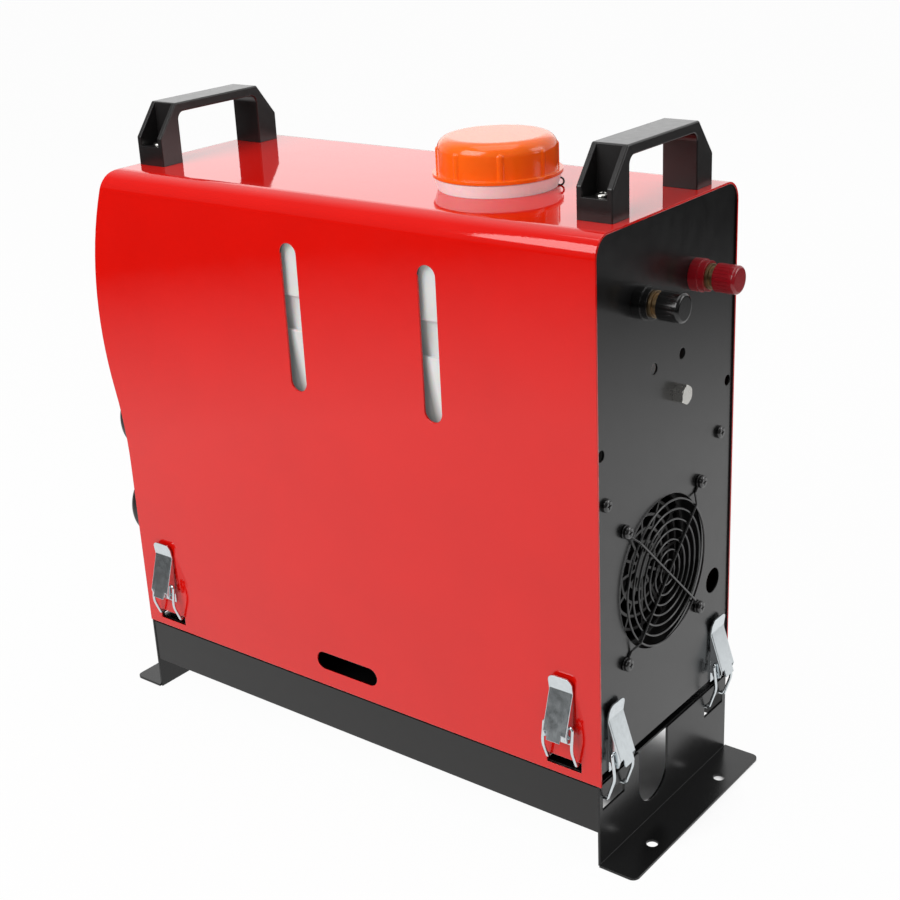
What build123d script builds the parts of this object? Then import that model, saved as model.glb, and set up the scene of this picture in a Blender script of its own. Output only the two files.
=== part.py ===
from build123d import *
from math import asin, cos, radians, sin
import os

# Portable diesel air heater, in millimetres.
# +Z is up, +X points to the rear plate with the fan and the terminals, and
# -Y is the long side on the left of someone who faces the rear plate.
# The origin is on the floor, under the middle of the whole object. The pieces
# are drawn a little in front of it and below it, and moved there when they
# are written.

# ---- driving dimensions: housing ----------------------------------------------
BODY_WIDTH = 150.0
BODY_TOP = 373.0
SHELL_BOTTOM = 52.4
SHEET = 1.2
SIDE = BODY_WIDTH / 2
REAR_X = 182.0            # outer face of the rear plate and of the rear foot
FRONT_X = -193.0          # lower front edge of the shell
SHELL_REAR_X = REAR_X + 1.0
TOP_BEND = 12.0           # outer radius of the long top bends
SLIP = 0.3                # gap between sheets that slide past each other
FIT = 0.2                 # gap around a part that is let into a sheet
OVER = 5.0                # how far a cutter passes the faces that it cuts
FAR = 400.0               # longer than the object
NEAR = 0.05               # how exactly an edge is picked by its place

# S-shaped front outline, seen from the side
BULGE_START_Z = 172.0
BULGE_Z = 275.0
BULGE_DEPTH = 12.0
FRONT_CORNER = 7.0
PANEL_INSET = 1.6         # from the outline to the front panel's outer face
PANEL_FOOT_GAP = 1.5      # above the shell's lower edge
PANEL_TOP_GAP = 4.0       # to where the shell rolls over

# windows and slots in the long sides
WINDOW_XS = (-27.5, 74.7)
WINDOW_WIDTH = 12.5
WINDOW_Z = (254.0, 345.0)
LOW_SLOT_X = (-32.4, 17.9)
LOW_SLOT_Z = (64.3, 76.5)
SIDE_LATCH_XS = (-169.0, 158.0)
HOOK_SLOT_HALF = 12.0
HOOK_SLOT_Z = (57.5, 64.0)

# ---- base -----------------------------------------------------------------------
PAN_TOP = SHELL_BOTTOM
PAN_TAB_Y = (10.0, 36.0)  # tabs that join the pan to the feet
PAN_TAB_BOTTOM = 34.0
RAIL_FACE = SIDE - SHEET - SLIP   # outer face of a rail's inner wall
RAIL_SKIN = SIDE - SLIP           # outer face of the wall that shows
RAIL_SKIN_Z = (20.9, 51.2)
RAIL_WALL_Z = (44.0, 60.0)
RAIL_TAB_TOP = 72.0               # tabs of the inner wall at the latches
RAIL_TAB_HALF = 17.0
FLOOR = -1.8              # its height in the drawing
FOOT_THICK = 1.5
FOOT_REACH = 24.5
FOOT_FRONT_X = -192.0     # outer face of the front foot's plate
FOOT_HALF = 76.3
FOOT_CORNER = 4.5
FOOT_HOLE_R = 3.5
FOOT_HOLE_SPACING = 82.0
FOOT_HOLE_REACH = 14.6
NOTCH_Y = -15.0
NOTCH_R = 16.7
NOTCH_BOTTOM = 11.5
HOOK_HOLE_Z = (34.6, 43.8)
HOOK_HOLE_HALF = 11.8
REAR_LATCH_YS = (-59.8, 59.3)

# ---- rear plate and its fittings --------------------------------------------------
PLATE_BOTTOM = 59.3
FAN_Y, FAN_Z, FAN_R = -5.5, 160.7, 46.0
CABLE_HOLE = (54.8, 128.8, 8.0)   # y, z, radius
VENT_HOLES = ((-15.6, 286.5), (14.7, 286.7))
EDGE_HOLES = ((-70.0, 254.5), (68.4, 254.5))
EDGE_SCREWS = ((-66.0, 225.0), (59.0, 225.0))
SMALL_HOLE_R = 3.3
SCREW_R = 2.0
REAR_SCREW_LENGTH = 10.0
REAR_SCREW_HEAD = (3.9, 2.6)      # radius, height
SCREW_DOME = 0.6                  # share of a head's height that is rounded
SCREW_CROSS = 0.9                 # width of the recess

GUARD_SPACING = 82.5
GUARD_WIRE = 0.65
GUARD_X = REAR_X + 3.0            # level of the rings
GUARD_BAR_X = GUARD_X + 1.2       # level of the diagonals, welded to their front
GUARD_LOW_X = REAR_X + 0.7        # level of the eyes
GUARD_STEP = (1.0, 7.0)           # where a diagonal bends, beyond the outer ring
GUARD_BEND_R = 2.0
GUARD_RINGS = (7.5, 13.5, 19.5, 25.5, 31.5, 37.5, 43.5)
GUARD_EYE_R = 3.4

HEX_BOLT = (9.3, 265.0)
HEX_SHANK_R = 3.0
HEX_SIZE = 6.0
HEX_HEIGHT = 6.6
HEX_CHAMFER = 0.6
HEX_SHANK = 9.0

TERMINAL_Z = 328.6
TERMINAL_YS = {"black": -31.2, "red": 28.6}
TERMINAL_SHANK_R = 4.0
COLLAR_RADII = (9.4, 8.7)
COLLAR_REACH = (5.4, 9.0)
STUD_R = 2.95
WASHER_RADII = (7.3, 5.8)
WASHER_THICK = 1.6
WASHER_GAP = 0.1
KNOB_R = 8.05
KNOB_X = (14.0, 27.2)             # from the rear plate
KNOB_FLUTES = 24
KNOB_FLUTE_R = 0.5
KNOB_SMOOTH = 3.8                 # length without flutes at the outer end
KNOB_ROUND = 1.8
KNOB_END = 3.5                    # from the bore's end to the knob's face
COLLAR_INNER = 8.0                # collar's length behind the plate
STUD_X = (-18.0, 23.2)            # from the rear plate
STUD_NUT = (6.0, 4.0, -12.0)      # radius over the corners, height, place in x

# ---- handles ----------------------------------------------------------------------
HANDLE_XS = (-165.5, 166.0)
HANDLE_Y = 3.0
HANDLE_WIDTH = 22.0
HANDLE_HEIGHT = 37.6
HANDLE_BASE_HALF = 52.0
HANDLE_TOP_HALF = 36.5
HANDLE_LEG = 17.0
HANDLE_BAR = 6.0
HANDLE_SHOULDER = 17.6            # height of the upright outer face
HANDLE_EDGE = 0.9
HANDLE_BEND_R = 1.5
HANDLE_INNER_R = 5.0
RECESS_FLOOR = 11.0
RECESS_LIP = 12.0                 # lowest point of the recess's open outer side
RECESS_WALL = 3.4
RECESS_BACK = 2.0                 # wall towards the hand
RECESS_EDGE = 0.6
HANDLE_SCREW_Y = 43.5
HANDLE_SCREW_LENGTH = 18.0
HANDLE_SCREW_HEAD = (4.0, 2.4)

# ---- filler and tank ----------------------------------------------------------------
CAP_X, CAP_Y = 70.3, 0.0
COLLAR_R = 36.6
COLLAR_TAPER = 2.4
COLLAR_TOP = 380.2
NECK_R = 30.0
NECK_WALL = 3.0
NECK_TOP = 394.0
CAP_Z = (380.8, 402.5)
CAP_LIP_R = 37.2
CAP_LIP_HEIGHT = 1.8
CAP_BODY_R = 34.2
CAP_SHOULDER = 7.5
CAP_RIBS = 8
CAP_RIB_R = 2.7
CAP_RIB_SINK = 1.9
CAP_RIB_TURN = -6.3
CAP_RIB_TOP = 397.5
CAP_RIB_ROUND = 0.8       # share of a rib's radius
CAP_PLAY = (0.8, 0.4)     # around the neck, and above the gasket
GASKET = 1.6
GASKET_RADII = (29.6, 25.0)
GASKET_GAP = 0.1

TANK_X = (-118.0, 140.0)
TANK_HALF = 71.0
TANK_Z = (238.0, 366.0)
TANK_WALL = 3.0
TANK_LONG_R = 14.0
TANK_END_R = 8.0
TANK_BAND_Z = (291.0, 312.0)
TANK_BAND_DEPTH = 2.4
TANK_OUTLET = (78.0, 56.0)
OUTLET_R = 5.0
OUTLET_DROP = 8.0

# ---- toggle latches, in (out from the panel, up from the lever's pivot) ---------
SIDE_PIVOT_Z = 83.0
REAR_PIVOT_Z = 67.0
PIVOT = (6.0, 0.0)
BAIL_PIVOT = (5.0, 6.0)
PIN_R = 1.1
PIN_PROUD = 0.6                   # beyond the lever's sides
WIRE_R = 1.0
RUN_GAP = 0.05
LEVER_HALF = 8.0
LEVER_SHEET = 1.0
LEVER_LOW = (11.3, -2.6)          # end of the narrow tab below the back
LEVER_TAB_HALF = 4.6
LEVER_BACK_LOW = 2.0              # height of the back's own lower edge
LEVER_BEND = (1.9, 26.6)
LEVER_TIP = (3.2, 35.3)
LEVER_TIP_R = 4.0
LEVER_FOLD_R = 0.8
LEVER_FOLD_LENGTH = 15.0          # only the long folds are longer than this
LEVER_RIM = ((1.5, 12.0), (2.2, 2.0), (3.4, -2.8), (6.0, -3.8), (8.4, -2.6))
BASE_Z = (-8.5, 13.0)
BASE_SHEET = 1.0
EAR_R = 1.9
EAR_ROOT = 3.5
EAR_FACE = 6.4
RIVET_ZS = (-6.0, 10.5)
RIVET = (1.8, 1.4)                # radius, height
BAIL_HALF = 9.7
BAIL_SPREAD = 0.2                 # how much wider the loop is at the bottom
BAIL_INWARD = 3.6                 # from the loop's side to its end in the lever
BAIL_KNEE = (6.9, 0.4)            # distance out, and share of the way down
BAIL_BENDS = (1.6, 14.0, 1.6, 1.1)
HOOK_START = 2.0                  # where the wire turns into its slot
HOOK_DEPTH = -4.2

# ---- heater unit --------------------------------------------------------------------
UNIT_Y, UNIT_Z = FAN_Y, FAN_Z
CASE_X = (-118.0, 166.0)
CASE_HALF_Y, CASE_HALF_Z = 54.0, 58.0
CASE_WALL = 2.5
CASE_CORNER = 30.0
CASE_BOTTOM = UNIT_Z - CASE_HALF_Z

CORE_X = (-108.0, 58.0)
CORE_R = 36.0
CHAMBER_R = 31.0
CHAMBER_START = -102.0
FINS = 20
FIN_X = (-106.0, 50.0)
FIN_THICK = 2.8
FIN_R = (34.0, 46.0)

MOTOR_R = 24.0
MOTOR_X = (96.0, 130.0)
FLANGE_X = (92.0, 96.0)           # also where the motor's arms are
RING_X = (58.0, 92.0)             # sleeve round the combustion impeller
RING_R = (33.0, 29.0)
ARM_HALF = 4.0
ARM_R = (20.0, 57.0)
SHAFT_R = 3.0
SHAFT_X = (62.0, 158.0)
# hub and tip radius, ends in x, number of blades, their pitch and thickness
BLOWER_WHEEL = (20.0, 44.0, 138.0, 156.0, 9, 35, 2.0)
BURNER_WHEEL = (10.0, 27.0, 66.0, 80.0, 10, 0, 1.6)

PIPE_XS = (20.0, 76.0)            # exhaust, then combustion air
PIPE_Y = -18.3
PIPE_R = 12.8
PIPE_STUB_R = 12.0                # the end that a hose is pushed over
PIPE_BORE = 10.5
PIPE_PLAY = (1.5, 0.5)            # in the pan's holes and in the case's
PIPE_Z = (28.0, 48.0, UNIT_Z - 32.0)
PIPE_ENTRY = 20.0                 # from the unit's axis to the pipes' openings

BRACKET_XS = (-92.0, 120.0)
BRACKET_SHEET = 2.0
BRACKET_Y = (-50.0, 40.0)
BRACKET_SEAT_Y = (-28.0, 17.0)
BRACKET_FLANGE = 16.0

LINE_R = 2.5
LINE_PLAY = 0.02
LINE_ENTRY = 6.0                  # how far the hose goes up into the tank
LINE_BEHIND = 20.0                # from the pump's end to the rising hose
LINE_STEP = 10.0                  # how much the hose climbs before it rises
LINE_BENDS = (14.0, 9.0, 7.0)
PUMP_Y, PUMP_Z = 56.0, 70.0
PUMP_X = (-52.0, 48.0)
PUMP_STEPS = ((12.0, 12.0), (8.0, 4.0))   # radius, distance from the nipple's end
CLIP_HALF_X, CLIP_HALF_Y = 8.0, 9.0
LINE_RISE_Y = 22.0

BOARD_X = (-60.0, 20.0)
BOARD_Z = (130.0, 190.0)
BOARD_GAP = 5.0
BOARD_THICK = 1.6
BOARD_POST_IN = 6.0
BOARD_POST_R = 2.4
CHIPS = ((-40, -22, 140, 160, 8.0), (-10, 8, 166, 182, 6.0))  # x, x, z, z, height
CAPACITOR = (2.0, 148.0, 5.0, 9.0)        # x, z, radius, height
CHIP_SINK = 1.0                           # how far a chip reaches into the board

GRILLE_THICK = 2.4
GRILLE_DUCT_R = (50.0, 47.5)
GRILLE_RINGS = (46.9, 38.5, 30.5, 22.5, 14.5)
GRILLE_BARS = 12
GRILLE_HALF = 0.9
GRILLE_HUB = 8.0

PLENUM_X = -183.0
PLENUM_Z = (96.0, 228.0)
PLENUM_HALF = 68.0
PLENUM_WALL = 2.0

# ---- front ----------------------------------------------------------------------------
VENT_YS = (-37.5, 37.5)
VENT_ZS = (128.7, 194.7)
VENT_R = 27.5
VENT_X = (-214.0, -181.0)
VENT_ROUND = 5.5
LOUVRE_R = 21.0
LOUVRE_RIM = 2.0
LOUVRE_X = (-212.5, -190.0)
LOUVRE_RIB = (6.0, 2.0, 1.2)      # from the front, from the back, half its width
BLADES = 5
BLADE_PITCH = 7.6
BLADE_TILT = 35
BLADE_WIDTH = 15.0
BLADE_THICK = 1.4
BLADE_INSET = 0.5                 # from the ring's ends

PAD_X = (-207.0, -184.0)
PAD_HALF_Y = 46.0
PAD_Z = (262.0, 314.0)
PAD_EDGE = 1.8
SCREEN_Y = (-40.0, 12.0)
SCREEN_Z = (269.0, 307.0)
SCREEN_DEPTH = (0.3, 1.5)
SCREEN_GAP = 0.1
BUTTON_R = 4.5
BUTTON_YS = (24.0, 36.0)
BUTTON_ZS = (279.0, 297.0)
BUTTON_PROUD = 1.6
BUTTON_DEPTH = 4.6
BUTTON_WELL = 6.0
BUTTON_EDGE = 0.8

# from the drawing's x = 0 to the middle between the front foot and the knobs
MIDDLE_X = (FOOT_FRONT_X - FOOT_REACH + REAR_X + KNOB_X[1]) / 2


# ---- helpers -----------------------------------------------------------------------
def block(x0, x1, y0, y1, z0, z1):
    """Box between two opposite corners."""
    middle = Pos((x0 + x1) / 2, (y0 + y1) / 2, (z0 + z1) / 2)
    return middle * Box(abs(x1 - x0), abs(y1 - y0), abs(z1 - z0))


def rod_x(radius, x0, x1, y, z):
    """Round bar along X."""
    return Pos((x0 + x1) / 2, y, z) * Rot(0, 90, 0) * Cylinder(radius, x1 - x0)


def rod_y(radius, y0, y1, x, z):
    """Round bar along Y."""
    return Pos(x, (y0 + y1) / 2, z) * Rot(90, 0, 0) * Cylinder(radius, y1 - y0)


def rod_z(radius, z0, z1, x, y):
    """Round bar along Z."""
    return Pos(x, y, (z0 + z1) / 2) * Cylinder(radius, z1 - z0)


def ring_x(outer, inner, x0, x1, y, z):
    """Tube along X."""
    return rod_x(outer, x0, x1, y, z) - rod_x(inner, x0 - OVER, x1 + OVER, y, z)


def ring_z(outer, inner, z0, z1, x, y):
    """Tube along Z."""
    return rod_z(outer, z0, z1, x, y) - rod_z(inner, z0 - OVER, z1 + OVER, x, y)


def spread_y(face, y0, y1):
    """Solid from a face drawn in X and Z, between two values of Y."""
    return extrude(Plane.XZ.offset(-y0) * face, amount=-(y1 - y0))


def spread_x(face, x0, x1):
    """Solid from a face drawn in Y and Z, between two values of X."""
    return extrude(Plane.YZ.offset(x0) * face, amount=x1 - x0)


def polygon(points):
    """Flat face from its corners."""
    return make_face(Polyline(points, close=True))


def arc_about(centre, start, end):
    """Shorter arc from start to end about centre."""
    middle = Vector(*centre)
    a = Vector(*start) - middle
    b = Vector(*end) - middle
    return ThreePointArc(start, middle + (a + b).normalized() * a.length, end)


def level_slot(x0, x1, z0, z1):
    """Face of a slot with round ends, longer in X or in Z."""
    wide, tall = x1 - x0, z1 - z0
    turn = 0 if wide > tall else 90
    slot = SlotOverall(max(wide, tall), min(wide, tall))
    return Pos((x0 + x1) / 2, (z0 + z1) / 2) * Rot(0, 0, turn) * slot


def wire(points, radii, radius):
    """Round wire along straight runs joined by arcs."""
    path = FilletPolyline(*points, radius=radii)
    start = Plane(origin=path @ 0, z_dir=path % 0)
    return sweep(start * Circle(radius), path=path)


def screw(length, head_r, head_h):
    """Pan-head screw pointing down, with a cross recess."""
    head = rod_z(head_r, 0, head_h, 0, 0)
    head = fillet(head.edges().group_by(Axis.Z)[-1], head_h * SCREW_DOME)
    for turn in (0, 90):
        head -= Pos(0, 0, head_h) * Rot(0, 0, turn) * Box(head_r, SCREW_CROSS, head_h)
    return head + rod_z(SCREW_R, -length, 0, 0, 0)


def write(name, *solids):
    """Write one node as a STEP file, as one solid or as a group of solids."""
    pieces = [Pos(-MIDDLE_X, 0, -FLOOR) * solid for shape in solids for solid in shape.solids()]
    node = pieces[0] if len(pieces) == 1 else Compound(children=pieces)
    node.label = name
    export_step(node, os.path.join("parts", name + ".step"))


# ---- outline of the housing -------------------------------------------------------
# Two arcs of one radius meet half-way up the bulge, and a third rounds the corner.
BULGE_RISE = BULGE_Z - BULGE_START_Z
BULGE_R = (BULGE_RISE ** 2 + BULGE_DEPTH ** 2) / (4 * BULGE_DEPTH)
LOW_CENTRE = (FRONT_X - BULGE_R, BULGE_START_Z)
HIGH_CENTRE = (FRONT_X - BULGE_DEPTH + BULGE_R, BULGE_Z)
LEAN = asin((BODY_TOP - FRONT_CORNER - BULGE_Z) / (BULGE_R - FRONT_CORNER))
CORNER_CENTRE = (
    HIGH_CENTRE[0] - (BULGE_R - FRONT_CORNER) * cos(LEAN),
    BODY_TOP - FRONT_CORNER,
)


def front_outline(inset, z_low, x_rear):
    """Side outline with its S-shaped front, moved inwards by inset."""
    low_r, high_r, corner_r = BULGE_R + inset, BULGE_R - inset, FRONT_CORNER - inset
    reach = low_r / (2 * BULGE_R)
    foot = (FRONT_X + inset, z_low)
    start = (FRONT_X + inset, BULGE_START_Z)
    bend = tuple(a + (b - a) * reach for a, b in zip(LOW_CENTRE, HIGH_CENTRE))
    turn = (HIGH_CENTRE[0] - high_r * cos(LEAN), HIGH_CENTRE[1] + high_r * sin(LEAN))
    top = (CORNER_CENTRE[0], CORNER_CENTRE[1] + corner_r)
    edges = [
        Line(foot, start),
        arc_about(LOW_CENTRE, start, bend),
        arc_about(HIGH_CENTRE, bend, turn),
        arc_about(CORNER_CENTRE, turn, top),
        Line(top, (x_rear, top[1])),
        Line((x_rear, top[1]), (x_rear, z_low)),
        Line((x_rear, z_low), foot),
    ]
    return make_face(edges)


def cross_section(inset, z_low):
    """Section across the housing, with its two round top bends."""
    side, top, bend = SIDE - inset, BODY_TOP - inset, TOP_BEND - inset
    edges = [
        Line((-side, z_low), (-side, top - bend)),
        arc_about((bend - side, top - bend), (-side, top - bend), (bend - side, top)),
        Line((bend - side, top), (side - bend, top)),
        arc_about((side - bend, top - bend), (side - bend, top), (side, top - bend)),
        Line((side, top - bend), (side, z_low)),
        Line((side, z_low), (-side, z_low)),
    ]
    return make_face(edges)


def both_sides(face):
    """Cutter through the sheets of both long sides of the housing."""
    low, high = SIDE - 2 * SHEET, SIDE + OVER
    return spread_y(face, -high, -low) + spread_y(face, low, high)


def hook_slot(x):
    """Face of the slot that a side bail hooks into."""
    z0, z1 = HOOK_SLOT_Z
    return Pos(x, (z0 + z1) / 2) * Rectangle(2 * HOOK_SLOT_HALF, z1 - z0)


# ---- housing ------------------------------------------------------------------------
def outer_shell():
    """Red sheet: two long sides and the top, rolled over at the front."""
    outside = spread_y(front_outline(0, SHELL_BOTTOM, SHELL_REAR_X), -SIDE, SIDE)
    outside &= spread_x(cross_section(0, 0), -FAR, FAR)
    hollow = spread_y(front_outline(SHEET, 0, FAR), -SIDE, SIDE)
    hollow += block(-FAR, 0, -SIDE, SIDE, 0, CORNER_CENTRE[1])
    hollow &= spread_x(cross_section(SHEET, -OVER), -FAR, FAR)
    shell = outside - hollow
    for x in WINDOW_XS:
        half = WINDOW_WIDTH / 2
        shell -= both_sides(level_slot(x - half, x + half, *WINDOW_Z))
    shell -= both_sides(level_slot(*LOW_SLOT_X, *LOW_SLOT_Z))
    for x in SIDE_LATCH_XS:
        shell -= both_sides(hook_slot(x))
    above = (BODY_TOP - OVER, BODY_TOP + OVER)
    shell -= rod_z(NECK_R + 2 * SLIP, *above, CAP_X, CAP_Y)
    for x, y in handle_screw_places():
        shell -= rod_z(SCREW_R + SLIP, *above, x, y)
    return shell


def rear_plate():
    """Black plate inset in the shell's rear edge."""
    plate = spread_x(cross_section(SHEET + FIT, PLATE_BOTTOM), REAR_X - SHEET, REAR_X)
    through = (REAR_X - OVER, REAR_X + OVER)
    plate -= rod_x(FAN_R, *through, FAN_Y, FAN_Z)
    hole_y, hole_z, hole_r = CABLE_HOLE
    plate -= rod_x(hole_r, *through, hole_y, hole_z)
    for y, z in VENT_HOLES + EDGE_HOLES:
        plate -= rod_x(SMALL_HOLE_R, *through, y, z)
    for y, z in guard_corners() + list(EDGE_SCREWS):
        plate -= rod_x(SCREW_R, *through, y, z)
    plate -= rod_x(HEX_SHANK_R, *through, *HEX_BOLT)
    for y in TERMINAL_YS.values():
        plate -= rod_x(TERMINAL_SHANK_R, *through, y, TERMINAL_Z)
    return plate


def front_panel():
    """Black sheet that follows the S-shaped front between the sides."""
    low = SHELL_BOTTOM + PANEL_FOOT_GAP
    outside = spread_y(front_outline(PANEL_INSET, low, 0), -SIDE, SIDE)
    inside = spread_y(front_outline(PANEL_INSET + SHEET, 0, OVER), -SIDE, SIDE)
    panel = outside - inside
    panel_end = CORNER_CENTRE[0] - PANEL_TOP_GAP
    panel &= block(-FAR, panel_end, -SIDE, SIDE, 0, BODY_TOP - PANEL_TOP_GAP)
    panel &= spread_x(cross_section(SHEET + SLIP, 0), -FAR, FAR)
    for y in VENT_YS:
        for z in VENT_ZS:
            panel -= rod_x(VENT_R + FIT, -FAR, 0, y, z)
    half = PAD_HALF_Y + FIT
    return panel - block(-FAR, 0, -half, half, PAD_Z[0] - FIT, PAD_Z[1] + FIT)


# ---- base -----------------------------------------------------------------------------
def floor_pan():
    """Level sheet under the heater unit, with tabs down on to the feet."""
    x0, x1 = FOOT_FRONT_X + FOOT_THICK, REAR_X - FOOT_THICK
    half = RAIL_FACE - SHEET
    pan = block(x0, x1, -half, half, PAN_TOP - SHEET, PAN_TOP)
    pan += block(x0, x0 + SHEET, *PAN_TAB_Y, PAN_TAB_BOTTOM, PAN_TOP)
    pan += block(x1 - SHEET, x1, *PAN_TAB_Y, PAN_TAB_BOTTOM, PAN_TOP)
    for x in PIPE_XS:
        pan -= rod_z(PIPE_R + PIPE_PLAY[0], PAN_TOP - OVER, PAN_TOP + OVER, x, PIPE_Y)
    return pan


def side_rails():
    """Two rails: a wall that shows, and one that reaches up inside the shell."""
    x0, x1 = FOOT_FRONT_X + FOOT_THICK, REAR_X - FOOT_THICK
    behind_panel = FRONT_X + PANEL_INSET + SHEET + FIT
    rails = []
    for side in (-1, 1):
        skin = sorted((side * RAIL_FACE, side * RAIL_SKIN))
        wall = sorted((side * RAIL_FACE, side * (RAIL_FACE - SHEET)))
        rail = block(x0, x1, *skin, *RAIL_SKIN_Z)
        rail += block(behind_panel, x1, *wall, *RAIL_WALL_Z)
        for x in SIDE_LATCH_XS:
            tab_x = (x - RAIL_TAB_HALF, x + RAIL_TAB_HALF)
            rail += block(*tab_x, *wall, RAIL_WALL_Z[0], RAIL_TAB_TOP)
            rail -= spread_y(hook_slot(x), wall[0] - OVER, wall[1] + OVER)
        rails.append(rail)
    return rails


def foot(face_x, outwards):
    """Bent plate across the base: an upright and a flange on the floor."""
    inner = face_x - outwards * FOOT_THICK
    tip = face_x + outwards * FOOT_REACH
    upright = block(inner, face_x, -SIDE, SIDE, FLOOR, SHELL_BOTTOM - FIT)
    flange = block(face_x, tip, -FOOT_HALF, FOOT_HALF, FLOOR, FLOOR + FOOT_THICK)
    corners = flange.edges().filter_by(Axis.Z).group_by(Axis.X)[-1 if outwards > 0 else 0]
    plate = upright + fillet(corners, FOOT_CORNER)
    hole_x = face_x + outwards * FOOT_HOLE_REACH
    for y in (-FOOT_HOLE_SPACING / 2, FOOT_HOLE_SPACING / 2):
        plate -= rod_z(FOOT_HOLE_R, FLOOR - OVER, FLOOR + OVER, hole_x, y)
    return plate


def foot_rear():
    """Rear foot with the hose notch and the two holes for the bails."""
    notch_z = NOTCH_BOTTOM + NOTCH_R
    cut = (REAR_X - OVER, REAR_X + OVER)
    plate = foot(REAR_X, 1) - rod_x(NOTCH_R, *cut, NOTCH_Y, notch_z)
    plate -= block(*cut, NOTCH_Y - NOTCH_R, NOTCH_Y + NOTCH_R, notch_z, SHELL_BOTTOM + OVER)
    for y in REAR_LATCH_YS:
        plate -= block(*cut, y - HOOK_HOLE_HALF, y + HOOK_HOLE_HALF, *HOOK_HOLE_Z)
    return plate


# ---- handles --------------------------------------------------------------------------
def handle_screw_places():
    """Centres of the four screws that hold the handles."""
    return [(x, HANDLE_Y + s * HANDLE_SCREW_Y) for x in HANDLE_XS for s in (-1, 1)]


def on_recess_rim(point, slot):
    """Whether a point is on an outer edge along a handle's recess."""
    beside = abs(abs(point.X) - slot) < NEAR
    outside = abs(point.Y) > HANDLE_TOP_HALF + RECESS_BACK
    return beside and outside and point.Z > RECESS_LIP + NEAR


def handle(x):
    """Bridge handle whose slanted ends are open recesses over the screws."""
    base, top, high = HANDLE_BASE_HALF, HANDLE_TOP_HALF, HANDLE_HEIGHT
    inner, under = base - HANDLE_LEG, high - HANDLE_BAR
    outline = [
        (-base, 0), (-base, HANDLE_SHOULDER), (-top, high), (top, high),
        (base, HANDLE_SHOULDER), (base, 0), (inner, 0),
        (inner, under), (-inner, under), (-inner, 0),
    ]
    half = HANDLE_WIDTH / 2
    body = spread_x(polygon(outline), -half, half)
    bends = ((under, HANDLE_INNER_R), (HANDLE_SHOULDER, HANDLE_BEND_R), (high, HANDLE_BEND_R))
    for level, radius in bends:
        corners = body.edges().filter_by(Axis.X)
        body = fillet(corners.filter_by_position(Axis.Z, level - 1, level + 1), radius)
    slot = half - RECESS_WALL
    above = high + OVER
    for side in (-1, 1):
        back = side * (inner + RECESS_BACK)
        body -= block(-slot, slot, back, side * (base - RECESS_WALL), RECESS_FLOOR, above)
        body -= block(-slot, slot, back, side * (base + OVER), RECESS_LIP, above)
    end_faces = body.faces().filter_by(Plane.YZ)
    sides = (end_faces.sort_by(Axis.X)[0], end_faces.sort_by(Axis.X)[-1])
    long_edges = [edge for face in sides for edge in face.outer_wire().edges()]
    body = fillet([edge for edge in long_edges if edge.center().Z > 0], HANDLE_EDGE)
    rims = [edge for edge in body.edges() if on_recess_rim(edge.center(), slot)]
    body = fillet(rims, RECESS_EDGE)
    for side in (-1, 1):
        body -= rod_z(SCREW_R + SLIP, -OVER, high, 0, side * HANDLE_SCREW_Y)
    return Pos(x, HANDLE_Y, BODY_TOP) * body


def handle_screws():
    """Four bright screws in the bottoms of the handle recesses."""
    z = BODY_TOP + RECESS_FLOOR
    one = screw(HANDLE_SCREW_LENGTH, *HANDLE_SCREW_HEAD)
    return [Pos(x, y, z) * one for x, y in handle_screw_places()]


# ---- filler ---------------------------------------------------------------------------
def filler_collar():
    """White ring between the shell and the cap, a little wider at its top."""
    height = COLLAR_TOP - BODY_TOP
    collar = Pos(CAP_X, CAP_Y, BODY_TOP + height / 2)
    collar *= Cone(COLLAR_R - COLLAR_TAPER, COLLAR_R, height)
    return collar - rod_z(NECK_R + SLIP, BODY_TOP - OVER, COLLAR_TOP + OVER, CAP_X, CAP_Y)


def filler_cap():
    """Screw cap with eight slim grip ribs, a low lip and a rounded shoulder."""
    low, high = CAP_Z
    body = rod_z(CAP_BODY_R, low, high, 0, 0)
    body = fillet(body.edges().group_by(Axis.Z)[-1], CAP_SHOULDER)
    rib = rod_z(CAP_RIB_R, low, CAP_RIB_TOP, CAP_BODY_R - CAP_RIB_SINK, 0)
    rib = fillet(rib.edges().group_by(Axis.Z)[-1], CAP_RIB_R * CAP_RIB_ROUND)
    for i in range(CAP_RIBS):
        body += Rot(0, 0, CAP_RIB_TURN + 360 / CAP_RIBS * i) * rib
    body += rod_z(CAP_LIP_R, low, low + CAP_LIP_HEIGHT, 0, 0)
    around, above = CAP_PLAY
    body -= rod_z(NECK_R + around, low - OVER, NECK_TOP + GASKET + above, 0, 0)
    return Pos(CAP_X, CAP_Y, 0) * body


def cap_gasket():
    """Flat sealing ring between the neck and the cap."""
    z0 = NECK_TOP + GASKET_GAP
    return ring_z(*GASKET_RADII, z0, z0 + GASKET, CAP_X, CAP_Y)


def tank_outside():
    """Outer form of the tank: a rounded box, its band, its neck and its outlet."""
    x0, x1 = TANK_X
    z0, z1 = TANK_Z
    body = block(x0, x1, -TANK_HALF, TANK_HALF, z0, z1)
    body = fillet(body.edges().filter_by(Axis.X), TANK_LONG_R)
    body = fillet(body.edges().group_by(Axis.X)[0], TANK_END_R)
    body = fillet(body.edges().group_by(Axis.X)[-1], TANK_END_R)
    deep = TANK_BAND_DEPTH
    beyond = TANK_HALF + OVER
    band = block(x0 - OVER, x1 + OVER, -beyond, beyond, *TANK_BAND_Z)
    band -= block(x0 + deep, x1 - deep, deep - TANK_HALF, TANK_HALF - deep, z0, z1)
    body -= band
    body += rod_z(NECK_R, z1 - TANK_WALL, NECK_TOP, CAP_X, CAP_Y)
    return body + rod_z(OUTLET_R, z0 - OUTLET_DROP, z0 + TANK_WALL, *TANK_OUTLET)


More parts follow.
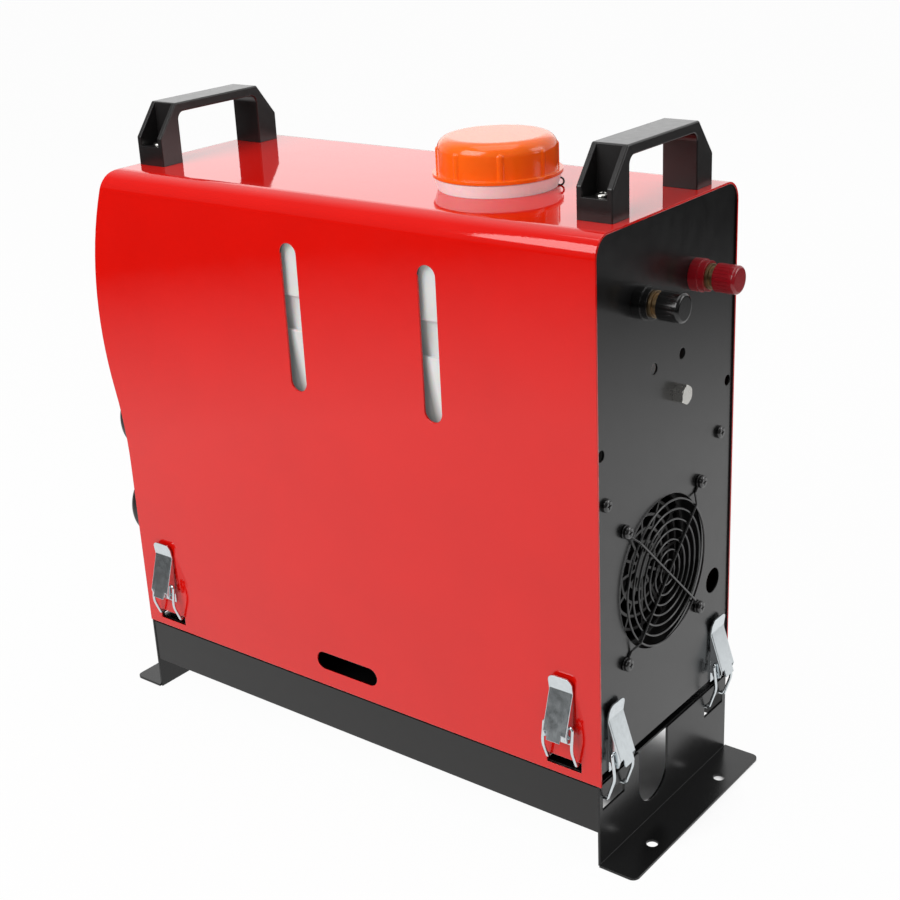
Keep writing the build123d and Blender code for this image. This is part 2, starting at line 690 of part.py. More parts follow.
def fuel_tank():
    """Blow-moulded tank, hollow, open at its neck and at its outlet."""
    x0, x1 = TANK_X
    z0, z1 = TANK_Z
    wall = TANK_WALL + TANK_BAND_DEPTH
    inner_half = TANK_HALF - wall
    hollow = block(x0 + wall, x1 - wall, -inner_half, inner_half, z0 + wall, z1 - wall)
    hollow = fillet(hollow.edges(), TANK_END_R)
    into = wall + TANK_END_R + OVER
    hollow += rod_z(NECK_R - NECK_WALL, z1 - into, NECK_TOP + OVER, CAP_X, CAP_Y)
    hollow += rod_z(LINE_R + LINE_PLAY, z0 - OUTLET_DROP - OVER, z0 + into, *TANK_OUTLET)
    return tank_outside() - hollow


# ---- rear plate fittings --------------------------------------------------------------
def guard_corners():
    """Centres of the four screws at the eyes of the fan guard."""
    half = GUARD_SPACING / 2
    return [(FAN_Y + a * half, FAN_Z + b * half) for a in (-1, 1) for b in (-1, 1)]


def torus_x(radius, x, y, z):
    """Wire ring whose axis is along X."""
    return Pos(x, y, z) * Rot(0, 90, 0) * Torus(radius, GUARD_WIRE)


def guard_bar():
    """Wire across the guard, bent down to the plate outside the largest ring."""
    near, far = (GUARD_RINGS[-1] + step for step in GUARD_STEP)
    reach = GUARD_SPACING / 2 * 2 ** 0.5 - GUARD_EYE_R
    half = [(GUARD_BAR_X, near, 0), (GUARD_LOW_X, far, 0), (GUARD_LOW_X, reach, 0)]
    other = [(x, -y, z) for x, y, z in reversed(half)]
    return wire(other + half, GUARD_BEND_R, GUARD_WIRE)


def fan_guard():
    """Wire guard: seven rings, two diagonals and an eye at each corner."""
    guard = torus_x(GUARD_RINGS[0], GUARD_X, FAN_Y, FAN_Z)
    for radius in GUARD_RINGS[1:]:
        guard += torus_x(radius, GUARD_X, FAN_Y, FAN_Z)
    for turn in (45, 135):
        guard += Pos(0, FAN_Y, FAN_Z) * Rot(turn, 0, 0) * guard_bar()
    for y, z in guard_corners():
        guard += torus_x(GUARD_EYE_R, GUARD_LOW_X, y, z)
    return guard


def rear_screws():
    """Black pan-head screws of the guard and of the plate's edges."""
    seats = [(GUARD_LOW_X + GUARD_WIRE, y, z) for y, z in guard_corners()]
    seats += [(REAR_X, y, z) for y, z in EDGE_SCREWS]
    one = Rot(0, 90, 0) * screw(REAR_SCREW_LENGTH, *REAR_SCREW_HEAD)
    return [Pos(*seat) * one for seat in seats]


def hex_bolt():
    """Bright bolt with a tall hexagon head."""
    head = extrude(RegularPolygon(HEX_SIZE, 6), amount=HEX_HEIGHT)
    end_r = HEX_SIZE - HEX_CHAMFER
    head &= Pos(0, 0, HEX_HEIGHT / 2) * Cone(end_r + HEX_HEIGHT, end_r, HEX_HEIGHT)
    bolt = head + rod_z(HEX_SHANK_R, -HEX_SHANK, HEX_HEIGHT / 2, 0, 0)
    return Pos(REAR_X, *HEX_BOLT) * Rot(0, 90, 0) * bolt


def terminal_collar(y):
    """Insulating foot of a battery terminal."""
    collar = rod_x(TERMINAL_SHANK_R, REAR_X - COLLAR_INNER, REAR_X, y, TERMINAL_Z)
    for radius, reach in zip(COLLAR_RADII, COLLAR_REACH):
        collar += rod_x(radius, REAR_X, REAR_X + reach, y, TERMINAL_Z)
    return collar - rod_x(STUD_R, REAR_X - FAR, REAR_X + FAR, y, TERMINAL_Z)


def terminal_studs():
    """Two threaded studs through the collars, each with an inner nut."""
    nut_r, nut_high, nut_x = STUD_NUT
    nut = Pos(nut_x, 0, 0) * Rot(0, 90, 0) * extrude(RegularPolygon(nut_r, 6), amount=nut_high)
    stud = rod_x(STUD_R, *STUD_X, 0, 0) + nut
    return [Pos(REAR_X, y, TERMINAL_Z) * stud for y in TERMINAL_YS.values()]


def terminal_washer(y):
    """Bright washer and sleeve that the knob presses on the cable."""
    wide, narrow = WASHER_RADII
    bore = STUD_R + RUN_GAP
    start = REAR_X + COLLAR_REACH[1] + WASHER_GAP
    end = REAR_X + KNOB_X[0] - WASHER_GAP
    washer = ring_x(wide, bore, start, start + WASHER_THICK, y, TERMINAL_Z)
    return washer + ring_x(narrow, bore, start, end, y, TERMINAL_Z)


def terminal_knob(y):
    """Fluted knob with a smooth rounded end and a bore for the stud."""
    low, high = KNOB_X
    knob = rod_z(KNOB_R, low, high, 0, 0)
    knob = fillet(knob.edges().group_by(Axis.Z)[-1], KNOB_ROUND)
    reach = KNOB_R + KNOB_FLUTE_R / 2
    for i in range(KNOB_FLUTES):
        turn = radians(360 / KNOB_FLUTES * i)
        place = (reach * cos(turn), reach * sin(turn))
        knob -= rod_z(KNOB_FLUTE_R, low - OVER, high - KNOB_SMOOTH, *place)
    knob -= rod_z(STUD_R + RUN_GAP, low - OVER, high - KNOB_END, 0, 0)
    return Pos(REAR_X, y, TERMINAL_Z) * Rot(0, 90, 0) * knob


# ---- toggle latches -------------------------------------------------------------------
# Drawn with the panel in X and Z and its outside towards -Y.
def latch_spots():
    """Name, place and length of the hook below the pivot, for each latch."""
    side_drop = SIDE_PIVOT_Z - HOOK_SLOT_Z[1] + WIRE_R + SLIP
    rear_drop = REAR_PIVOT_Z - HOOK_HOLE_Z[1] + WIRE_R + SLIP
    spots = []
    for end, x in zip(("front", "rear"), SIDE_LATCH_XS):
        spots.append(("left_" + end, Pos(x, -SIDE, SIDE_PIVOT_Z), side_drop))
        back = Pos(x, SIDE, SIDE_PIVOT_Z) * Rot(0, 0, 180)
        spots.append(("right_" + end, back, side_drop))
    for hand, y in zip(("left", "right"), REAR_LATCH_YS):
        place = Pos(REAR_X, y, REAR_PIVOT_Z) * Rot(0, 0, 90)
        spots.append(("back_" + hand, place, rear_drop))
    return spots


def latch_face(points):
    """Face from (out, up) pairs, in the plane across a latch's width."""
    return polygon([(-out, up) for out, up in points])


def latch_rod(radius, x0, x1, spot):
    """Round bar along a latch's width at an (out, up) spot."""
    return rod_x(radius, x0, x1, -spot[0], spot[1])


def latch_base():
    """Riveted base plate with two ears and the pivot pin between them."""
    out, up = PIVOT
    base = block(-EAR_FACE, EAR_FACE, -BASE_SHEET, 0, *BASE_Z)
    ear = latch_face([(0, up - EAR_R), (out, up - EAR_R), (out, up + EAR_R), (0, EAR_ROOT)])
    for side in (-1, 1):
        x0, x1 = sorted((side * (EAR_FACE - BASE_SHEET), side * EAR_FACE))
        base += spread_x(ear, x0, x1) + latch_rod(EAR_R, x0, x1, PIVOT)
    rivet_r, rivet_high = RIVET
    for z in RIVET_ZS:
        base += rod_y(rivet_r, -BASE_SHEET - rivet_high / 2, -BASE_SHEET / 2, 0, z)
    pin_half = LEVER_HALF + PIN_PROUD
    return base + latch_rod(PIN_R, -pin_half, pin_half, PIVOT)


def latch_lever():
    """Pressed lever: a flat back with a tab, two side flanges, a flared tip."""
    t, half = LEVER_SHEET, LEVER_HALF
    low, bend, tip = LEVER_LOW, LEVER_BEND, LEVER_TIP
    back = [low, bend, tip, (tip[0] - t, tip[1]), (bend[0] - t, bend[1]), (low[0] - t, low[1])]
    lever = spread_x(latch_face(back), -half, half)
    tips = lever.edges().group_by(Axis.Z)[-1].filter_by(Axis.Y)
    lever = fillet(tips, LEVER_TIP_R)
    slope = (low[0] - bend[0]) / (bend[1] - low[1])
    corner = (low[0] - slope * (LEVER_BACK_LOW - low[1]), LEVER_BACK_LOW)
    flange = [corner, bend, (bend[0] - t, bend[1]), *LEVER_RIM]
    for side in (-1, 1):
        beside = sorted((side * LEVER_TAB_HALF, side * (half + OVER)))
        around = (-low[0] - OVER, -low[0] + OVER)
        lever -= block(*beside, *around, low[1] - OVER, LEVER_BACK_LOW)
        lever += spread_x(latch_face(flange), *sorted((side * (half - t), side * half)))
    folds = [e for e in lever.edges() if e.length > LEVER_FOLD_LENGTH and e.center().Y < -EAR_ROOT]
    lever = fillet([e for e in folds if abs(e.center().X) > half - t / 2], LEVER_FOLD_R)
    for spot, radius in ((PIVOT, PIN_R), (BAIL_PIVOT, WIRE_R)):
        lever -= latch_rod(radius + RUN_GAP, -half - OVER, half + OVER, spot)
    return lever


def latch_bail(drop):
    """Bent wire loop from the lever down into its slot."""
    half = BAIL_HALF + BAIL_SPREAD
    out, up = BAIL_PIVOT
    knee_out, knee_share = BAIL_KNEE
    side = [
        (BAIL_HALF - BAIL_INWARD, -out, up),
        (BAIL_HALF, -out, up),
        (half, -knee_out, -knee_share * drop),
        (half, -HOOK_START, -drop),
        (half, -HOOK_DEPTH, -drop),
    ]
    points = side + [(-x, y, z) for x, y, z in reversed(side)]
    return wire(points, BAIL_BENDS + BAIL_BENDS[::-1], WIRE_R)


# ---- heater unit ----------------------------------------------------------------------
def case_face(inset):
    """Round-cornered section of the heater unit's case."""
    width, height = 2 * (CASE_HALF_Y - inset), 2 * (CASE_HALF_Z - inset)
    return Pos(UNIT_Y, UNIT_Z) * RectangleRounded(width, height, CASE_CORNER - inset)


def case_hollow():
    """Inside of the case, much longer than the case."""
    return spread_x(case_face(CASE_WALL), -FAR, FAR)


def heater_case():
    """Outer case of the heater unit, open at both ends."""
    case = spread_x(case_face(0), *CASE_X) - case_hollow()
    for x in PIPE_XS:
        case -= rod_z(PIPE_R + PIPE_PLAY[1], CASE_BOTTOM - OVER, UNIT_Z, x, PIPE_Y)
    return case


def about_unit(solids):
    """The same solids, moved from the X axis to the heater unit's axis."""
    return Pos(0, UNIT_Y, UNIT_Z) * solids


def heat_exchanger():
    """Finned aluminium casting around the burner chamber."""
    core = rod_x(CORE_R, *CORE_X, 0, 0)
    fin = block(*FIN_X, -FIN_THICK / 2, FIN_THICK / 2, *FIN_R)
    for i in range(FINS):
        core += Rot(360 / FINS * i, 0, 0) * fin
    core -= rod_x(CHAMBER_R, CHAMBER_START, CORE_X[1] + OVER, 0, 0)
    core = about_unit(core)
    core -= rod_z(PIPE_BORE, CASE_BOTTOM, UNIT_Z - PIPE_ENTRY, PIPE_XS[0], PIPE_Y)
    for x in PIPE_XS:
        core -= rod_z(PIPE_R, CASE_BOTTOM, PIPE_Z[2], x, PIPE_Y)
    return core


def blower_motor():
    """Motor with its bearings, and the arms that hold it in the case."""
    motor = rod_x(MOTOR_R, *MOTOR_X, 0, 0) + ring_x(*RING_R, *RING_X, 0, 0)
    motor += rod_x(RING_R[0], *FLANGE_X, 0, 0)
    arm = block(*FLANGE_X, -ARM_HALF, ARM_HALF, *ARM_R)
    for turn in (45, 135, 225, 315):
        motor += Rot(turn, 0, 0) * arm
    motor = about_unit(motor - rod_x(SHAFT_R + RUN_GAP, 0, FAR, 0, 0))
    motor -= rod_z(PIPE_R + SLIP, CASE_BOTTOM, UNIT_Z - PIPE_ENTRY, PIPE_XS[1], PIPE_Y)
    return motor & case_hollow()


def motor_shaft():
    """Steel shaft shared by both impellers."""
    return rod_x(SHAFT_R, *SHAFT_X, UNIT_Y, UNIT_Z)


def impeller(hub_r, tip_r, x0, x1, blades, pitch, thick):
    """Hub with pitched blades, bored for the shaft."""
    wheel = rod_x(hub_r, x0, x1, 0, 0)
    half = (x1 - x0) / 2 + 2
    blade = Rot(0, 0, pitch) * block(-half, half, -thick / 2, thick / 2, hub_r - 1, tip_r)
    for i in range(blades):
        wheel += Rot(360 / blades * i, 0, 0) * (Pos((x0 + x1) / 2, 0, 0) * blade)
    wheel &= rod_x(tip_r, x0, x1, 0, 0)
    return about_unit(wheel - rod_x(SHAFT_R, x0 - OVER, x1 + OVER, 0, 0))


def intake_grille():
    """Black grille of rings and bars on a short duct behind the guard."""
    x0, x1 = CASE_X[1], CASE_X[1] + GRILLE_THICK
    grille = ring_x(*GRILLE_DUCT_R, x0, REAR_X - SHEET, 0, 0)
    for radius in GRILLE_RINGS:
        grille += ring_x(radius + GRILLE_HALF, radius - GRILLE_HALF, x0, x1, 0, 0)
    grille += rod_x(GRILLE_HUB, x0, x1, 0, 0)
    bar = block(x0, x1, -GRILLE_HALF, GRILLE_HALF, GRILLE_HUB / 2, sum(GRILLE_DUCT_R) / 2)
    for i in range(GRILLE_BARS):
        grille += Rot(360 / GRILLE_BARS * i, 0, 0) * bar
    return about_unit(grille)


def outlet_plenum():
    """Duct from the heater unit to the four vents."""
    x0, x1 = PLENUM_X, CASE_X[0]
    low, high = PLENUM_Z
    half, wall = PLENUM_HALF, PLENUM_WALL
    duct = block(x0, x1, -half, half, low, high)
    duct -= block(x0 - OVER, x1 - wall, wall - half, half - wall, low + wall, high - wall)
    return duct - case_hollow()


def burner_pipes():
    """Exhaust stub and combustion air stub, down through the pan."""
    low, shoulder, high = PIPE_Z
    tube = rod_z(PIPE_STUB_R, low, shoulder, 0, PIPE_Y)
    tube += rod_z(PIPE_R, shoulder, high, 0, PIPE_Y)
    tube -= rod_z(PIPE_BORE, low - OVER, high + OVER, 0, PIPE_Y)
    return [Pos(x, 0, 0) * tube for x in PIPE_XS]


def heater_bracket():
    """Two bent brackets that stand on the pan and carry the heater unit."""
    t = BRACKET_SHEET
    web = block(0, t, *BRACKET_Y, PAN_TOP, CASE_BOTTOM)
    web += block(-BRACKET_FLANGE, t, *BRACKET_Y, PAN_TOP, PAN_TOP + t)
    web += block(-BRACKET_FLANGE, t, *BRACKET_SEAT_Y, CASE_BOTTOM - t, CASE_BOTTOM)
    return [Pos(x, 0, 0) * web for x in BRACKET_XS]


def fuel_pump():
    """Dosing pump with a nipple at each end, in a clip on the pan."""
    x0, x1 = PUMP_X
    pump = rod_x(LINE_R, x0, x1, PUMP_Y, PUMP_Z)
    for radius, step in PUMP_STEPS:
        pump += rod_x(radius, x0 + step, x1 - step, PUMP_Y, PUMP_Z)
    clip_y = (PUMP_Y - CLIP_HALF_Y, PUMP_Y + CLIP_HALF_Y)
    return pump + block(-CLIP_HALF_X, CLIP_HALF_X, *clip_y, PAN_TOP, PUMP_Z)


def fuel_line():
    """Two hoses: tank to pump, and pump to heater unit."""
    x0, x1 = PUMP_X
    tank_x, tank_y = TANK_OUTLET
    rise_x = x0 - LINE_BEHIND
    start = (tank_x, tank_y, TANK_Z[0] + LINE_ENTRY)
    down = [start, (tank_x, tank_y, PUMP_Z), (x1, PUMP_Y, PUMP_Z)]
    up = [
        (x0, PUMP_Y, PUMP_Z),
        (rise_x, PUMP_Y, PUMP_Z),
        (rise_x, LINE_RISE_Y, PUMP_Z + LINE_STEP),
        (rise_x, LINE_RISE_Y, CASE_BOTTOM),
    ]
    return [wire(down, LINE_BENDS[:1], LINE_R), wire(up, LINE_BENDS[1:], LINE_R)]


def control_board():
    """Circuit board on the case, on four posts, with its larger parts."""
    y0 = UNIT_Y + CASE_HALF_Y
    face = y0 + BOARD_GAP + BOARD_THICK
    board = block(*BOARD_X, y0 + BOARD_GAP, face, *BOARD_Z)
    inside = BOARD_POST_IN
    for x in (BOARD_X[0] + inside, BOARD_X[1] - inside):
        for z in (BOARD_Z[0] + inside, BOARD_Z[1] - inside):
            board += rod_y(BOARD_POST_R, y0, face, x, z)
    for x0, x1, z0, z1, height in CHIPS:
        board += block(x0, x1, face - CHIP_SINK, face + height, z0, z1)
    x, z, radius, height = CAPACITOR
    return board + rod_y(radius, face - CHIP_SINK, face + height, x, z)


# ---- front ------------------------------------------------------------------------------
def vent_bezel(y, z):
    """Round black vent housing that stands out of the front panel."""
    bezel = rod_x(VENT_R, *VENT_X, y, z)
    rim = bezel.edges().filter_by(GeomType.CIRCLE).group_by(Axis.X)[0]
    bezel = fillet(rim, VENT_ROUND)
    return bezel - rod_x(LOUVRE_R + SLIP, -FAR, 0, y, z)


def vent_louvre(y, z):
    """Ring with five slanted blades that turns in its housing."""
    x0, x1 = LOUVRE_X
    louvre = ring_x(LOUVRE_R, LOUVRE_R - LOUVRE_RIM, x0, x1, 0, 0)
    rib = LOUVRE_RIB
    blades = block(x0 + rib[0], x1 - rib[1], -rib[2], rib[2], -LOUVRE_R, LOUVRE_R)
    blade = Rot(0, BLADE_TILT, 0) * Box(BLADE_WIDTH, 2 * LOUVRE_R, BLADE_THICK)
    for i in range(BLADES):
        blades += Pos((x0 + x1) / 2, 0, BLADE_PITCH * (i - BLADES // 2)) * blade
    blades &= rod_x(LOUVRE_R - LOUVRE_RIM / 2, x0 + BLADE_INSET, x1 - BLADE_INSET, 0, 0)
    return Pos(0, y, z) * (louvre + blades)


def controller_case():
    """Flat control pad set into the front panel."""
    face, back = PAD_X
    case = block(face, back, -PAD_HALF_Y, PAD_HALF_Y, *PAD_Z)
    case = fillet(case.edges().group_by(Axis.X)[0], PAD_EDGE)
    case -= block(face - OVER, face + SCREEN_DEPTH[1], *SCREEN_Y, *SCREEN_Z)
    for y in BUTTON_YS:
        for z in BUTTON_ZS:
            case -= rod_x(BUTTON_R + SLIP, face - OVER, face + BUTTON_WELL, y, z)
    return case


def controller_screen():
    """Blank display window, just below the face of the control pad."""
    x0, x1 = (PAD_X[0] + depth for depth in SCREEN_DEPTH)
    gap = SCREEN_GAP
    y0, y1 = SCREEN_Y
    z0, z1 = SCREEN_Z
    return block(x0, x1, y0 + gap, y1 - gap, z0 + gap, z1 - gap)


def button(y, z):
    """Round push button with a domed face."""
    face = PAD_X[0]
    cap = rod_x(BUTTON_R, face - BUTTON_PROUD, face + BUTTON_DEPTH, y, z)
    return fillet(cap.edges().group_by(Axis.X)[0], BUTTON_EDGE)


# ---- writing ------------------------------------------------------------------------------
def write_housing():
    """Write the housing, its handles and what is fixed to it."""
    write("outer_shell", outer_shell())
    write("rear_plate", rear_plate())
    write("front_panel", front_panel())
    write("handles", *[handle(x) for x in HANDLE_XS])
    write("handle_screws", *handle_screws())
    write("filler_collar", filler_collar())
    write("filler_cap", filler_cap())
    write("cap_gasket", cap_gasket())
    write("fuel_tank", fuel_tank())
    write("fan_guard", fan_guard())
    write("rear_screws", *rear_screws())
    write("hex_bolt", hex_bolt())
    write("terminal_studs", *terminal_studs())
    for colour, y in TERMINAL_YS.items():
        write("terminal_collar_" + colour, terminal_collar(y))
        write("terminal_washer_" + colour, terminal_washer(y))
        write("terminal_knob_" + colour, terminal_knob(y))


def write_base():
    """Write the base and the latches that hold the housing on it."""
    write("floor_pan", floor_pan())
    write("side_rails", *side_rails())
    write("foot_rear", foot_rear())
    write("foot_front", foot(FOOT_FRONT_X, -1))
    write("latch_bases", *[place * latch_base() for _, place, _ in latch_spots()])
    for name, place, drop in latch_spots():
        write("latch_lever_" + name, place * latch_lever())
        write("latch_bail_" + name, place * latch_bail(drop))


def write_heater():
    """Write the heater unit, its fuel supply and its electronics."""
    write("heater_case", heater_case())
    write("heat_exchanger", heat_exchanger())
    write("blower_motor", blower_motor())
    write("motor_shaft", motor_shaft())
    write("blower_impeller", impeller(*BLOWER_WHEEL))
    write("combustion_impeller", impeller(*BURNER_WHEEL))
    write("intake_grille", intake_grille())
    write("outlet_plenum", outlet_plenum())
    write("burner_pipes", *burner_pipes())
    write("heater_bracket", *heater_bracket())
    write("fuel_pump", fuel_pump())
    write("fuel_line", *fuel_line())
    write("control_board", control_board())


def write_front():
    """Write the four vents and the controller."""
    vents = [(y, z) for z in VENT_ZS for y in VENT_YS]
    write("vent_bezels", *[vent_bezel(y, z) for y, z in vents])
    for name, (y, z) in zip(("low_left", "low_right", "high_left", "high_right"), vents):
        write("vent_louvre_" + name, vent_louvre(y, z))
    write("controller_case", controller_case())
    write("controller_screen", controller_screen())
    buttons = [(y, z) for z in BUTTON_ZS for y in BUTTON_YS]
    for number, (y, z) in enumerate(buttons, 1):
        write("button_%d" % number, button(y, z))


os.makedirs("parts", exist_ok=True)
write_housing()
write_base()
write_heater()
write_front()
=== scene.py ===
"""Looks of the portable diesel air heater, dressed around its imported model.

Everything is in metres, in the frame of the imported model: +Z up, +X towards
the rear plate, -Y the long side that faces the camera.
"""
import math

import bpy
from mathutils import Matrix, Vector


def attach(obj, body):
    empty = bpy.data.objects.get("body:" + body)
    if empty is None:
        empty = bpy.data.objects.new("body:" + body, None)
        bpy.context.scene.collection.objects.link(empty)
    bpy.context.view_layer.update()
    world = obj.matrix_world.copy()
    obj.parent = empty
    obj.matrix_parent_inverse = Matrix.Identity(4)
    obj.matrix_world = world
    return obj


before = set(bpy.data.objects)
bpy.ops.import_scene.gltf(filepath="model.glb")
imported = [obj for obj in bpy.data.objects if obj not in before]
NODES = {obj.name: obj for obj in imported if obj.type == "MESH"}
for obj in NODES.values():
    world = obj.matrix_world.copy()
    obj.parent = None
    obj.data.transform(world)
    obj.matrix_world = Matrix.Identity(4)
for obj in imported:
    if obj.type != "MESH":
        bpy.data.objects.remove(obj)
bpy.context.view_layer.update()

# ---- camera ---------------------------------------------------------------------
CAMERA_POINT = (0.58799, -0.70043, 0.56356)
CAMERA_AZIMUTH = 38.58
CAMERA_ELEVATION = 21.92
CAMERA_ROLL = -2.85
LENS_MM = 61.57
SENSOR_MM = 36.0

# ---- light: name, place, aim, size in metres, radiance ---------------------------
TARGET = (0.0, 0.0, 0.2)
LAMPS = (
    ("lamp_back", (-1.25, 1.55, 0.95), (0.0, 0.0, 0.3), (2.0, 1.1), 0.57),
    ("lamp_front", (-0.35, -1.40, 1.25), TARGET, (1.2, 1.0), 5.4),
    ("lamp_right", (1.25, 0.75, 0.75), TARGET, (0.7, 0.9), 2.6),
    ("lamp_top", (0.1, -0.1, 1.5), TARGET, (1.0, 1.0), 1.7),
)
WORLD_LEVEL = 0.28
BACKDROP = (-0.3, 0.954, 0.0)     # direction in which mirrors show plain white
MIRROR_TURN = (-0.10, 0.42)       # from dark to white, as the cosine to the backdrop
MIRROR_DARK = (0.16, 0.25)        # level away from the backdrop, at the horizon and higher up
MIRROR_RISE = 0.8                 # height of a direction, as its sine, where it is reached
FLOOR_SIZE = 12.0
FLOOR_WHITE = 0.82
FLOOR_ROUGH = 0.9
FLOOR_SHOWN = 0.97        # share of plain white that the camera sees in the open floor
FLOOR_GLOW_RADII = (0.70, 1.40)  # painted light: mirrors show the floor as a glow, white within one radius, dark past the other
# level of the floor's painted glow past the outer radius
FLOOR_FAR_GLOW = 0.02
COVER_REACH = 0.10        # the camera sees the floor's real shading where it is covered so near
COVER_SHARES = (0.30, 0.65)
COVER_SAMPLES = 12
FRONT_FLOOR = (-0.015, -0.035)    # in y; in front of this the floor is plain white

# ---- colours, linear --------------------------------------------------------------
RED = (0.72, 0.006, 0.003)
CHARCOAL = (0.006, 0.006, 0.0062)
RAIL_GREY = (0.005, 0.0045, 0.004)
BLACK = (0.012, 0.011, 0.011)
KNOB_BLACK = (0.005, 0.005, 0.005)
ORANGE = (1.0, 0.15, 0.006)
WHITE = (0.88, 0.88, 0.88)
MILKY = (0.70, 0.71, 0.70)
MILKY_PAINTED_GLOW = 0.10         # painted light: glow of the tank's own, for light that comes through it from its other sides
COLLAR_PAINTED_GLOW = 0.13        # painted light: the same glow in the collar
KNOB_RED = (0.30, 0.006, 0.012)
ZINC = (0.62, 0.66, 0.68)
NICKEL = (0.60, 0.59, 0.56)
BRASS = (0.25, 0.17, 0.09)
STEEL = (0.50, 0.50, 0.51)
ALUMINIUM = (0.62, 0.62, 0.62)
BOARD_GREEN = (0.010, 0.14, 0.045)
SCREEN_BLUE = (0.012, 0.018, 0.022)
BUTTON_GREY = (0.17, 0.17, 0.18)

# ---- finish of all materials ----------------------------------------------------------
NOISE_DETAIL = 3.0
NOISE_SPAN = (0.3, 0.7)   # values of the noise that give a material's two ends
LEAST_ROUGH = 0.02
EDGE_SAMPLES = 6

# ---- painted shade by place and the collar's tab ------------------------------------
HOUSING_MIDDLE_Z = 0.2
CAP_PLACE = (0.07395, 0.0)
TAB_RADII = (0.0022, 0.00055)     # of the loop and of its wire
TAB_RINGS, TAB_SIDES = 24, 10
TAB_TURN = 26.0
TAB_REACH = 0.0354
TAB_Z = 0.3772
INNER_SHADE_SHARE = 0.03               # colour kept on the inner sides of the shell, darkened there as painted shade
INNER_EDGE = (-0.004, -0.002)     # how far a sheet's side faces the middle: fully inner, fully outer
WINDOW_EDGE = -0.0301             # front edge of the first window, in x
WINDOW_PITCH = 0.1022
SHADE_LEAD = 0.0096               # the tank's painted shadow is measured from so far before an edge
SHADE_WIDTH = (0.0205, 0.0100)    # from there to the end of the shade, low and high
SHADE_Z = (0.254, 0.305)
SHADE_SOFT = 0.006
SHADE_SHARE = 0.20                # colour of the tank that is kept in the painted shadow


# ---- material helpers ---------------------------------------------------------------
def node(tree, kind, **settings):
    """New shader node; settings are its own properties, such as operation."""
    made = tree.nodes.new("ShaderNode" + kind)
    for name, value in settings.items():
        setattr(made, name, value)
    return made


def noise(tree, scale):
    """Output of a noise whose scale is in features per metre."""
    texture = node(tree, "TexNoise")
    texture.inputs["Scale"].default_value = scale
    texture.inputs["Detail"].default_value = NOISE_DETAIL
    tree.links.new(node(tree, "TexCoord").outputs["Object"], texture.inputs["Vector"])
    return texture.outputs["Fac"]


def ranged(tree, value, low, high, start, end):
    """Output that goes from low to high as value goes from start to end."""
    made = node(tree, "MapRange")
    tree.links.new(value, made.inputs["Value"])
    for name, number in zip(("From Min", "From Max", "To Min", "To Max"), (start, end, low, high)):
        made.inputs[name].default_value = number
    return made.outputs["Result"]


def math_node(tree, operation, first, second):
    """Output of a Math node; the first and second values are outputs or numbers."""
    made = node(tree, "Math", operation=operation)
    for value, socket in zip((first, second), made.inputs):
        if isinstance(value, (int, float)):
            socket.default_value = value
        else:
            tree.links.new(value, socket)
    return made.outputs["Value"]


def surface(name, colour, rough, tint=(25, 0.06), spread=(90, 0.04), grain=(), edge=0.0, **sockets):
    """Principled material that varies a little, with scales in features per metre.

    tint is the scale and share of the change in colour, spread the scale and size
    of the change in roughness, grain a list of (scale, height in metres), and
    edge the radius in metres by which sharp edges are softened.
    """
    material = bpy.data.materials.new(name)
    material.use_nodes = True
    tree = material.node_tree
    shader = tree.nodes["Principled BSDF"]
    for socket, value in sockets.items():
        shader.inputs[socket.replace("_", " ")].default_value = value
    scaled = node(tree, "VectorMath", operation="SCALE")
    scaled.inputs[0].default_value = colour
    share = ranged(tree, noise(tree, tint[0]), 1 - tint[1], 1 + tint[1], *NOISE_SPAN)
    tree.links.new(share, scaled.inputs["Scale"])
    tree.links.new(scaled.outputs["Vector"], shader.inputs["Base Color"])
    smoothest = max(rough - spread[1], LEAST_ROUGH)
    rough_value = ranged(tree, noise(tree, spread[0]), smoothest, rough + spread[1], *NOISE_SPAN)
    tree.links.new(rough_value, shader.inputs["Roughness"])
    relief = None
    if edge:
        soft = node(tree, "Bevel", samples=EDGE_SAMPLES)
        soft.inputs["Radius"].default_value = edge
        relief = soft.outputs["Normal"]
    for scale, height in grain:
        bump = node(tree, "Bump")
        bump.inputs["Strength"].default_value = 1.0
        bump.inputs["Distance"].default_value = height
        tree.links.new(noise(tree, scale), bump.inputs["Height"])
        if relief:
            tree.links.new(relief, bump.inputs["Normal"])
        relief = bump.outputs["Normal"]
    if relief:
        tree.links.new(relief, shader.inputs["Normal"])
    return material


def scale_colour(material, share):
    """Multiply a material's base colour by an output."""
    tree = material.node_tree
    colour = tree.nodes["Principled BSDF"].inputs["Base Color"]
    scaled = node(tree, "VectorMath", operation="SCALE")
    tree.links.new(colour.links[0].from_socket, scaled.inputs[0])
    tree.links.new(share, scaled.inputs["Scale"])
    tree.links.new(scaled.outputs["Vector"], colour)


def painted_inner_shade(tree):
    """Share of the colour that is kept: low on the inner sides of the housing's sheets, a painted shade
    for the dark inside.
    """
    geometry = node(tree, "NewGeometry")
    middle = node(tree, "VectorMath", operation="MULTIPLY_ADD")
    middle.inputs[1].default_value = (0, 1, 1)
    middle.inputs[2].default_value = (0, 0, -HOUSING_MIDDLE_Z)
    outwards = node(tree, "VectorMath", operation="DOT_PRODUCT")
    tree.links.new(geometry.outputs["Position"], middle.inputs[0])
    tree.links.new(middle.outputs["Vector"], outwards.inputs[0])
    tree.links.new(geometry.outputs["True Normal"], outwards.inputs[1])
    return ranged(tree, outwards.outputs["Value"], INNER_SHADE_SHARE, 1, *INNER_EDGE)


